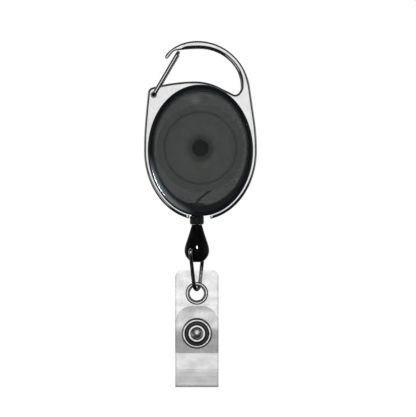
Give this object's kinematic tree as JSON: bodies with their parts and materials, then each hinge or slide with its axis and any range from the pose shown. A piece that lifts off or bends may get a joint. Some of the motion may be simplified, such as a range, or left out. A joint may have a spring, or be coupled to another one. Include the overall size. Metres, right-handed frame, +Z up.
{
  "type": "retractable badge reel",
  "caption": "Carabiner badge reel: chrome hook frame with wire gate, oval translucent reel housing, retracting cord, swivel drop, wire link and clear snap strap",
  "frame": {"origin": "the point inside the top of the hook that bears on a belt loop, midway through the frame's thickness", "axes": "+Z up along the hanging reel, +X to the wearer's left as seen from the front, -Y towards the viewer of the front face"},
  "size_m": [0.0344, 0.0126, 0.1057],
  "materials": {
    "chrome_casting": "polished, plated zinc casting",
    "gate_steel": "bright nickel-plated spring wire",
    "smoke_plastic": "translucent smoke moulding, glossy",
    "black_plastic": "glossy black moulding",
    "spool_plastic": "dark grey moulding",
    "spring_steel": "blued spring steel strip",
    "nylon_cord": "braided black nylon",
    "link_steel": "bright plated wire",
    "clear_vinyl": "clear flexible vinyl",
    "nickel_plate": "nickel-plated brass"
  },
  "bodies": {
    "housing": {"carabiner_frame": "chrome_casting", "front_shell": "smoke_plastic", "rear_shell": "smoke_plastic", "arbor": "black_plastic", "outlet_bush": "black_plastic", "mainspring": "spring_steel", "cord_run": "nylon_cord"},
    "gate": {"gate_wire": "gate_steel"},
    "reel": {"spool": "spool_plastic", "spool_cover": "spool_plastic", "cord_winding": "nylon_cord"},
    "cord_tip": {"cord_end": "nylon_cord", "cord_knot": "nylon_cord"},
    "drop": {"cord_drop": "black_plastic"},
    "link": {"wire_link": "link_steel"},
    "strap": {"strap_front_ply": "clear_vinyl", "strap_main_ply": "clear_vinyl", "strap_fold": "clear_vinyl", "eyelet": "nickel_plate", "eyelet_washer": "nickel_plate", "snap_cap": "nickel_plate", "snap_socket": "nickel_plate", "socket_spring": "spring_steel"},
    "tail": {"strap_tail": "clear_vinyl", "snap_stud": "nickel_plate", "stud_cap": "nickel_plate"}
  },
  "joints": [
    {"name": "gate_hinge", "type": "hinge", "parent": "housing", "child": "gate", "pos_m": [-0.0142, 0, -0.014], "axis": [0, 1, 0], "range_deg": [0, 37], "stiffness_Nm_per_rad": 0.005, "springref_deg": -20.05},
    {"name": "cord_pull", "type": "slide", "parent": "housing", "child": "cord_tip", "axis": [0, 0, -1], "range_m": [0, 0.86], "stiffness_N_per_m": 0.6, "springref_m": -0.9},
    {"name": "spool_spin", "type": "hinge", "parent": "housing", "child": "reel", "pos_m": [0, 0, -0.0302], "axis": [0, 1, 0], "range_deg": [0, 4880], "deforming": ["mainspring"]},
    {"name": "drop_swivel", "type": "hinge", "parent": "cord_tip", "child": "drop", "pos_m": [-0.0011, 0, -0.058], "axis": [0, 0, 1], "continuous": true},
    {"name": "link_swing", "type": "hinge", "parent": "drop", "child": "link", "pos_m": [-0.0011, 0, -0.0609], "axis": [0.4226, 0.9063, 0], "range_deg": [-80, 80]},
    {"name": "strap_swing", "type": "hinge", "parent": "link", "child": "strap", "pos_m": [-0.0011, 0, -0.07315], "axis": [0, 1, 0], "range_deg": [-30, 30]},
    {"name": "flap_open", "type": "hinge", "parent": "strap", "child": "tail", "pos_m": [-0.0011, 0.00355, -0.09965], "axis": [-1, 0, 0], "range_deg": [0, 150], "deforming": ["strap_fold"]}
  ],
  "couplings": [
    {"joint": "spool_spin", "follows": "cord_pull", "rad_per_m": 99.01}
  ]
}
